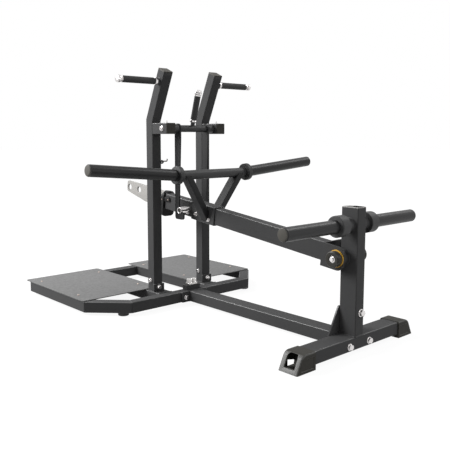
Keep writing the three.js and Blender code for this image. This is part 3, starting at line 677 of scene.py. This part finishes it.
def modelFootCap(size):
    low, high = spot(*size["low"]), spot(*size["high"])
    slope = mm(size["slope"])
    cap = addWedge(size["low"], size["high"], size["slope"])

    def onCorner(edge):
        return all(v.co.z > high.z - touch and v.co.y < low.y + slope + touch for v in edge.verts)

    def onFlank(edge):
        # where a flank meets the top, the rounded corner or the slope
        ends = [v.co for v in edge.verts]
        hidden = all(e.y > high.y - touch for e in ends) or all(e.z < touch for e in ends)
        flanks = [f for f in edge.link_faces if abs(f.normal.x) > facing]
        return len(flanks) == 1 and not hidden

    ease(cap, onCorner, size["cornerRound"], size["cornerSteps"], "EDGE")
    ease(cap, onFlank, size["round"], size["roundSteps"], "EDGE")
    editPiece(cap)
    pick(cap, lambda f: abs(f.normal.x) > squarely)
    bpy.ops.mesh.inset(thickness=mm(size["panelInset"]), use_individual=True)
    bpy.ops.mesh.inset(
        thickness=mm(size["panelRim"]), depth=-mm(size["panelSunk"]), use_individual=True
    )
    bpy.ops.object.mode_set(mode="OBJECT")
    socket = addBlock(size["socketLow"], size["socketHigh"])
    hollow = addWedge(size["hollowLow"], size["hollowHigh"], size["hollowSlope"])
    cutWith(cap, socket, modelCarryHole(size), hollow, modelWindow(size))
    # the hole's rim, where it breaks the sloped outer face
    tilt = Vector((0, -(high.z - low.z), slope)).normalized()
    holeLow, holeHigh = spot(*size["holeLow"]), spot(*size["holeHigh"])
    reach = mm(size["rimReach"])

    def onRim(edge):
        return all(
            abs((v.co - low).dot(tilt)) < 2 * touch
            and holeLow.x - reach < v.co.x < holeHigh.x + reach
            and holeLow.z - reach < v.co.z < holeHigh.z + reach
            for v in edge.verts
        )

    editPiece(cap)
    bpy.ops.mesh.select_all(action="SELECT")
    bpy.ops.mesh.remove_doubles(threshold=touch)
    ease(cap, onRim, size["rimRound"], size["rimSteps"], "EDGE")
    return cap


nearCap = modelFootCap(footCap)
farCap = nearCap.copy()
farCap.data = nearCap.data.copy()
bpy.context.scene.collection.objects.link(farCap)
farCap.data.transform(Matrix.Scale(-1, 4, (0, 1, 0)))
for cap, side in ((nearCap, "left"), (farCap, "right")):
    finishPiece(cap, f"foot_cap_moulded_{side}", "frame", "cap_plastic", smooth=footCap["smooth"])
    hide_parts(f"foot_cap_{side}")
print("foot caps modelled")

# Hex bolts: one modelled with its washer, the rest are copies of it
hexBolt = {
    "flats": 17,
    "headHigh": 7.5,
    "dome": 1.4,
    "domeInset": 1.1,
    "washer": 11.5,
    "washerHigh": 2,
    "round": 0.5,
    "roundSteps": 2,
    "washerSides": 28,
    "spin": 15,
}
boltPlaces = [
    # name, place, way out, size
    ("foot_bolt_left", (981.5, -57, 34), (1, 0, 0), 1.15),
    ("foot_bolt_right", (981.5, 63, 34), (1, 0, 0), 1.15),
    ("post_bolt", (981.5, 5, 151), (1, 0, 0), 1.3),
    ("flange_bolt_left", (33, -59, 38), (1, 0, 0), 1.0),
    ("flange_bolt_right", (33, 59, 38), (1, 0, 0), 1.0),
    ("bracket_bolt_left", (-59, -152, 85), (1, 0, 0), 1.0),
    ("bracket_bolt_right", (-59, 152, 85), (1, 0, 0), 1.0),
    ("upright_bolt_left", (-94, -175, 117), (0, -1, 0), 0.95),
    ("upright_bolt_right", (-96, 125, 119), (0, -1, 0), 0.85),
]


def modelHexBolt(size):
    corner = size["flats"] / 2 / math.cos(math.pi / 6)
    head = addDrum(corner, size["headHigh"], 6, size["washerHigh"])
    editPiece(head)
    pick(head, facesUp)
    bpy.ops.mesh.inset(thickness=mm(size["domeInset"]))
    bpy.ops.transform.translate(value=(0, 0, mm(size["dome"])))
    bpy.ops.object.mode_set(mode="OBJECT")

    def betweenFlats(edge):
        return abs(edge.verts[0].co.z - edge.verts[1].co.z) > mm(size["headHigh"]) / 2

    ease(head, betweenFlats, size["round"], size["roundSteps"], "EDGE")
    washer = addDrum(size["washer"], size["washerHigh"], size["washerSides"])
    ease(washer, facesUp, size["round"], size["roundSteps"])
    return joinInto(head, washer)


boltMaster = modelHexBolt(hexBolt)
for name, where, axis, size in boltPlaces:
    copyTo(boltMaster, name, where, axis, "frame", "plated_steel", size, spin=hexBolt["spin"])
bpy.data.objects.remove(boltMaster)
print("hex bolts placed")

# Socket bolts: on the catch's axis, the sleeve and the lever's side
socketBolt = {
    "head": 10.5,
    "headHigh": 6,
    "headSides": 36,
    "round": 0.9,
    "roundSteps": 3,
    "socket": 6.0,
    "socketDeep": 4.2,
    "overrun": 1,
    "washer": 13,
    "washerHigh": 1.6,
    "washerRound": 0.4,
    "washerSteps": 2,
}
socketPlaces = [
    # name, place, way out, body, size
    ("catch_axis_bolt_left", (8, -175, 835.5), (0, -1, 0), "frame", 0.92),
    ("catch_axis_bolt_right", (8, 175, 835.5), (0, 1, 0), "frame", 1.0),
    ("sleeve_bolt_front_left", (72, -30.3, 438.5), (0, -1, 0), "lever", 0.8),
    ("sleeve_bolt_left", (159, -30.3, 421), (0, -1, 0), "lever", 0.85),
    ("sleeve_bolt_right", (159, 30.3, 421), (0, 1, 0), "lever", 0.85),
    ("lever_side_bolt", (8, -25, 440), (0, -1, 0), "lever", 0.7),
]


def modelSocketBolt(size):
    head = addDrum(size["head"], size["headHigh"], size["headSides"], size["washerHigh"])
    ease(head, facesUp, size["round"], size["roundSteps"])
    top = size["washerHigh"] + size["headHigh"]
    deep = size["socketDeep"]
    cutWith(head, addDrum(size["socket"], deep + size["overrun"], 6, top - deep))
    washer = addDrum(size["washer"], size["washerHigh"])
    ease(washer, facesUp, size["washerRound"], size["washerSteps"])
    return joinInto(head, washer)


socketMaster = modelSocketBolt(socketBolt)
for name, where, axis, body, size in socketPlaces:
    copyTo(socketMaster, name, where, axis, body, "plated_steel", size)
bpy.data.objects.remove(socketMaster)
print("socket bolts placed")

# Screws of the platforms and the two on the latch's side plate
screw = {
    "head": 5.5,
    "headHigh": 2.6,
    "sides": 24,
    "round": 1.6,
    "roundSteps": 3,
    "socket": 2.2,
    "socketLean": 0.3,
    "socketDeep": 1.6,
}
treadRows = {"x": {"front": -610, "back": -241}, "y": {"inner": 147, "outer": 480}, "z": 68}
sidePlateRow = {"places": {"front": (-184, -36, 489.5), "back": (-139, -31.5, 489.5)}, "size": 0.6}


def modelScrew(size):
    head = addDrum(size["head"], size["headHigh"], size["sides"])
    ease(head, facesUp, size["round"], size["roundSteps"])
    editPiece(head)
    pick(head, lambda f: f.normal.z > squarely)
    bpy.ops.mesh.inset(thickness=mm(size["head"] - size["round"] - size["socket"]))
    bpy.ops.mesh.inset(thickness=mm(size["socketLean"]), depth=-mm(size["socketDeep"]))
    bpy.ops.object.mode_set(mode="OBJECT")
    return head


screwMaster = modelScrew(screw)
for side, way in bothSides:
    for row, x in treadRows["x"].items():
        for lane, y in treadRows["y"].items():
            name = f"tread_screw_{side}_{row}_{lane}"
            where = (x, way * y, treadRows["z"])
            copyTo(screwMaster, name, where, (0, 0, 1), "frame", "plated_steel", look="warm_zinc")
for row, where in sidePlateRow["places"].items():
    name, size = f"side_plate_screw_{row}", sidePlateRow["size"]
    copyTo(screwMaster, name, where, (0, -1, 0), "lever", "plated_steel", size, look="warm_zinc")
bpy.data.objects.remove(screwMaster)
print("screws placed")

# Grease nipples on top of the catch brackets: a hex foot, a neck and a rounded tip
nipple = {
    "place": (14, 150, 860.5),
    "sides": 6,
    "profile": [(4.2, 0), (4.2, 4.5), (2.2, 4.9), (2.2, 7.1), (3.0, 7.8), (3.0, 9.1), (1.35, 10.4)],
}
nippleMaster = turnBar(nipple["profile"], nipple["sides"])
for side, way in bothSides:
    x, y, z = nipple["place"]
    copyTo(nippleMaster, f"grease_nipple_{side}", (x, way * y, z), (0, 0, 1), "frame", "plated_steel")
bpy.data.objects.remove(nippleMaster)

# Catch handle: a grooved knob at its tip and a collar under its grip, along its leaning axis
catchTrim = {
    "foot": (10, 0, 835.5),
    "lean": 16,
    "sides": 40,
    "knob": [
        (15.4, 156), (16.4, 157), (16.4, 162.5), (15.0, 163.2), (15.0, 164.8), (16.4, 165.5), (16.4, 170),
        (15.6, 171), (12.4, 171.4), (12.4, 173), (14.6, 174), (14.8, 179.5), (13.4, 182), (10, 183),
    ],
    "collar": [(15, 34), (16, 35), (16, 41), (15, 42)],
}
lean = math.radians(catchTrim["lean"])
handleAxis = (math.sin(lean), 0, math.cos(lean))
for trim in ("knob", "collar"):
    turned = turnBar(catchTrim[trim], catchTrim["sides"])
    copyTo(turned, f"catch_handle_{trim}", catchTrim["foot"], handleAxis, "catch", "plated_steel")
    bpy.data.objects.remove(turned)

# Handle bars of the uprights: a ring at the root, a grooved neck past the grip and a domed end
handleBar = {
    "place": (-13.3, 188, 1046.8),
    "sides": 48,
    "profile": [
        (16, 0), (17, 1), (17, 9), (16, 10), (11, 10.2), (11, 181.6), (13, 181.8), (13, 184),
        (11.5, 184.6), (11.5, 186), (13, 186.6), (13, 188.8), (11.5, 189.4), (11.5, 192.6),
        (15.8, 193), (16.8, 195), (16.8, 204), (15.6, 207.6), (12, 209),
    ],
}
barMaster = turnBar(handleBar["profile"], handleBar["sides"])
for side, way in bothSides:
    x, y, z = handleBar["place"]
    name = f"handle_bar_turned_{side}"
    bar = copyTo(barMaster, name, (x, way * y, z), (0, way, 0), "frame", "plated_steel")
    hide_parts(f"handle_bar_{side}")
bpy.data.objects.remove(barMaster)

# Dark plugs in the ends of the catch pin
pinPlug = {"radius": 9.5, "thick": 1.4, "place": (27.9, 95, 457.2), "rim": 2, "sunk": 0.8}
plugMaster = addDrum(pinPlug["radius"], pinPlug["thick"])
editPiece(plugMaster)
pick(plugMaster, facesUp)
bpy.ops.mesh.inset(thickness=mm(pinPlug["rim"]))
bpy.ops.transform.translate(value=(0, 0, -mm(pinPlug["sunk"])))
bpy.ops.object.mode_set(mode="OBJECT")
for side, way in bothSides:
    x, y, z = pinPlug["place"]
    copyTo(plugMaster, f"pin_plug_{side}", (x, way * y, z), (0, way, 0), "lever", "cap_plastic")
bpy.data.objects.remove(plugMaster)

# Catch pin: a turned bar with rounded ends, sunk inside a rim
turnedPin = {
    "radius": 15,
    "long": 190,
    "sides": 64,
    "place": (27.9, 457.2),  # x and z of its axis
    "round": 1.8,
    "roundSteps": 3,
    "rim": 3.2,
    "sunk": 1.2,
}
pinBar = addDrum(turnedPin["radius"], turnedPin["long"], turnedPin["sides"])
ease(pinBar, facesEitherWay, turnedPin["round"], turnedPin["roundSteps"])
editPiece(pinBar)
pick(pinBar, lambda f: abs(f.normal.z) > squarely)
bpy.ops.mesh.inset(thickness=mm(turnedPin["rim"]))
half = turnedPin["long"] / 2
bpy.ops.transform.resize(value=(1, 1, 1 - turnedPin["sunk"] / half), center_override=(0, 0, mm(half)))
bpy.ops.object.mode_set(mode="OBJECT")
pinX, pinZ = turnedPin["place"]
pinWhole = copyTo(pinBar, "catch_pin_turned", (pinX, -half, pinZ), (0, 1, 0), "lever", "plated_steel")
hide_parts("catch_pin")
bpy.data.objects.remove(pinBar)

# End plate of the lever: rounded corners and eased rims
endPlate = {
    "wide": 72,
    "high": 122,
    "thick": 17,
    "corner": 20,
    "cornerSteps": 8,
    "round": 1.2,
    "roundSteps": 2,
    "place": (-175, 0, 463.5),
    "axis": (-0.99337, 0, 0.11494),  # along the lever towards the belt
}
halfWide, halfHigh = endPlate["wide"] / 2, endPlate["high"] / 2
plateBlock = addBlock(
    (originX - halfWide, -halfHigh, 0), (originX + halfWide, halfHigh, endPlate["thick"])
)


def throughPlate(edge):
    return abs(edge.verts[0].co.z - edge.verts[1].co.z) > touch


ease(plateBlock, throughPlate, endPlate["corner"], endPlate["cornerSteps"], "EDGE")
ease(plateBlock, facesEitherWay, endPlate["round"], endPlate["roundSteps"])
place, axis = endPlate["place"], endPlate["axis"]
plateWhole = copyTo(plateBlock, "end_plate_eased", place, axis, "lever", "black_paint", look="deep_black")
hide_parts("end_plate")
bpy.data.objects.remove(plateBlock)

# Plastic plugs in the ends of the four horns
hornPlug = {"radius": 21.8, "thick": 1.6, "sides": 48, "round": 1.2, "roundSteps": 3}
hornEnds = [
    # name, place, way out, body
    ("lever_horn_plug_left", (165.2, -652.4, 669.4), (0.00982, -0.99634, 0.08485), "lever"),
    ("lever_horn_plug_right", (165.2, 652.4, 669.4), (0.00982, 0.99634, 0.08485), "lever"),
    ("storage_horn_plug_left", (944, -387, 480), (0, -1, 0), "frame"),
    ("storage_horn_plug_right", (944, 387, 480), (0, 1, 0), "frame"),
]
plugMaster = addDrum(hornPlug["radius"], hornPlug["thick"], hornPlug["sides"])
ease(plugMaster, facesUp, hornPlug["round"], hornPlug["roundSteps"])
for name, where, axis, body in hornEnds:
    copyTo(plugMaster, name, where, axis, body, "cap_plastic", look="horn_plug")
bpy.data.objects.remove(plugMaster)

# Bent rods, rings and weld beads are round bars along points
barWave = {"slow": 2.4, "quick": 5.3}  # radians per point of a bead's two waves


def tubeAlong(name, points, radius, closed=False, wave=0.0, steps=3):
    # a round bar along the points, made a mesh
    line = bpy.data.curves.new(name, "CURVE")
    line.dimensions = "3D"
    line.bevel_depth = mm(radius)
    line.bevel_resolution = steps
    line.use_fill_caps = not closed
    run = line.splines.new("POLY")
    run.points.add(len(points) - 1)
    for index, point in enumerate(points):
        slow, quick = math.sin(index * barWave["slow"]), math.sin(index * barWave["quick"])
        run.points[index].co = (*spot(*point), 1)
        run.points[index].radius = 1 + wave * slow + wave / 2 * quick
    run.use_cyclic_u = closed
    bar = bpy.data.objects.new(name, line)
    bpy.context.scene.collection.objects.link(bar)
    activate(bar)
    bpy.ops.object.convert(target="MESH")
    return bpy.context.active_object


def ringPoints(centre, axis, radius, count):
    axis = Vector(axis).normalized()
    side = axis.orthogonal().normalized()
    other = axis.cross(side)
    turns = [2 * math.pi * k / count for k in range(count)]
    return [Vector(centre) + (side * math.cos(t) + other * math.sin(t)) * radius for t in turns]


# Belt peg: an eye on the upright's inner face with a thin rod bent up at its tip
beltPeg = {
    "path": [
        (-90, -125, 681), (-88, -112, 681), (-82, -102, 682), (-73, -91, 683), (-70.5, -88, 685),
        (-70, -87, 690), (-70, -86.5, 694),
    ],
    "rod": 3.6,
    "eyeAt": (-83, -109, 679.5),
    "eyeAxis": (1, -0.5, 0),
    "eye": 6.2,
    "eyeRod": 3.4,
    "eyePoints": 24,
    "smooth": 60,
}
peg = tubeAlong("belt_peg_bent", beltPeg["path"], beltPeg["rod"])
eyeLine = ringPoints(beltPeg["eyeAt"], beltPeg["eyeAxis"], beltPeg["eye"], beltPeg["eyePoints"])
eye = tubeAlong("eye", eyeLine, beltPeg["eyeRod"], closed=True)
finishPiece(peg, "belt_peg_bent", "frame", "bare_steel", smooth=beltPeg["smooth"])
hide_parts("belt_peg")
finishPiece(eye, "belt_peg_eye", "frame", "black_paint", smooth=beltPeg["smooth"])

# Latch: a dark side plate with a bent rod standing on it
latch = {
    "low": (-187, -31.5, 480),
    "high": (-129, -25.2, 502.5),
    "corner": 5,
    "cornerSteps": 4,
    "round": 1,
    "roundSteps": 2,
    "rod": 3.4,
    "path": [
        (-173.5, -28, 497), (-172.5, -28, 518), (-170.5, -28, 526), (-165, -28, 531),
        (-155, -28, 532.5), (-127, -28, 532.5), (-110, -28, 531.5), (-102, -28, 528),
    ],
}


def throughLatch(edge):
    return abs(edge.verts[0].co.y - edge.verts[1].co.y) > touch


latchPlate = addBlock(latch["low"], latch["high"])
ease(latchPlate, throughLatch, latch["corner"], latch["cornerSteps"], "EDGE")
ease(latchPlate, lambda f: f.normal.y < -facing, latch["round"], latch["roundSteps"])
latchWhole = joinInto(latchPlate, tubeAlong("latch_bar", latch["path"], latch["rod"]))
finishPiece(latchWhole, "latch_plate_bent_rod", "lever", "horn_black", look="deep_black")
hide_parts("latch_rod")
print("small fittings modelled")

# Weld beads, wavy runs where one member stands on another
weldBead = {
    "radius": 2.6,
    "wave": 0.16,
    "pitch": 4.5,
    "roundSteps": 1,
    "ringPointShare": 0.9,  # points of a ring for each millimetre of its radius
    "fewestPoints": 12,
    "smooth": 80,
}
weldRings = [
    # name, place on the right side, radius
    ("hub_weld", (915, 25.5, 354.5), 32.5),
    ("storage_horn_weld", (944, 25.5, 480), 25.5),
    ("collar_weld", (944, 65.5, 480), 25.5),
]
uprightFoot = {"x": (-115, -65), "y": 150, "half": 25, "z": 64.5}
rearTubeSeam = {"x": -24, "y": (177, 104), "z": 64.3}
postFoot = {"x": (906.5, 981.5), "y": (-25, 25), "z": 64.5}
flangeSeam = [(33.5, -37.5, 64), (33.5, 37.5, 64)]


def addWeld(name, points, closed):
    # walks the points at the bead's pitch
    walk = []
    for start, end in zip(points, points[1:] + points[:1] if closed else points[1:]):
        start, end = Vector(start), Vector(end)
        steps = max(1, round((end - start).length / weldBead["pitch"]))
        walk += [start.lerp(end, k / steps) for k in range(steps)]
    if not closed:
        walk.append(Vector(points[-1]))
    bead = tubeAlong(
        name, walk, weldBead["radius"], closed=closed, wave=weldBead["wave"], steps=weldBead["roundSteps"]
    )
    finishPiece(bead, name, "frame", "black_paint", smooth=weldBead["smooth"], look="round_paint")


def frameAround(xs, ys, z):
    return [(xs[0], ys[0], z), (xs[1], ys[0], z), (xs[1], ys[1], z), (xs[0], ys[1], z)]


for side, way in bothSides:
    for name, (x, y, z), radius in weldRings:
        count = max(weldBead["fewestPoints"], round(radius * weldBead["ringPointShare"]))
        addWeld(f"{name}_{side}", ringPoints((x, way * y, z), (0, 1, 0), radius, count), True)
    middle = way * uprightFoot["y"]
    across = (middle - uprightFoot["half"], middle + uprightFoot["half"])
    addWeld(f"upright_foot_weld_{side}", frameAround(uprightFoot["x"], across, uprightFoot["z"]), True)
    seam = [(rearTubeSeam["x"], way * y, rearTubeSeam["z"]) for y in rearTubeSeam["y"]]
    addWeld(f"rear_tube_weld_{side}", seam, False)
addWeld("post_foot_weld", frameAround(postFoot["x"], postFoot["y"], postFoot["z"]), True)
addWeld("beam_flange_weld", flangeSeam, False)
print("weld beads laid")

# CAD nodes keep their mesh; live modifiers join their loose triangles and soften their edges
edgeSoftness = {
    "joinWithin": 0.00002,
    "flatWithin": 0.5,  # degrees
    "width": 0.0008,
    "tubeWidth": 0.0016,
    "steps": 2,
    "sharperThan": 30,  # degrees
}
tubeNodes = (
    "front_tube", "rear_tube", "corner_tube", "outer_rail", "inner_rail", "main_beam", "foot_tube",
    "rear_post", "upright_left", "upright_right", "lever_tube", "strut", "catch_bracket",
)
for node in nodes.values():
    isTube = node.name.startswith(tubeNodes)
    join = node.modifiers.new("join", "WELD")
    join.merge_threshold = edgeSoftness["joinWithin"]
    flat = node.modifiers.new("flat", "DECIMATE")
    flat.decimate_type = "DISSOLVE"
    flat.angle_limit = math.radians(edgeSoftness["flatWithin"])
    soft = node.modifiers.new("soft", "BEVEL")
    soft.width = edgeSoftness["tubeWidth" if isTube else "width"]
    soft.segments = edgeSoftness["steps"]
    soft.use_clamp_overlap = not isTube
    soft.limit_method = "ANGLE"
    soft.angle_limit = math.radians(edgeSoftness["sharperThan"])
    even = node.modifiers.new("even", "WEIGHTED_NORMAL")
    even.keep_sharp = False
    for polygon in node.data.polygons:
        polygon.use_smooth = True
print("edges softened")
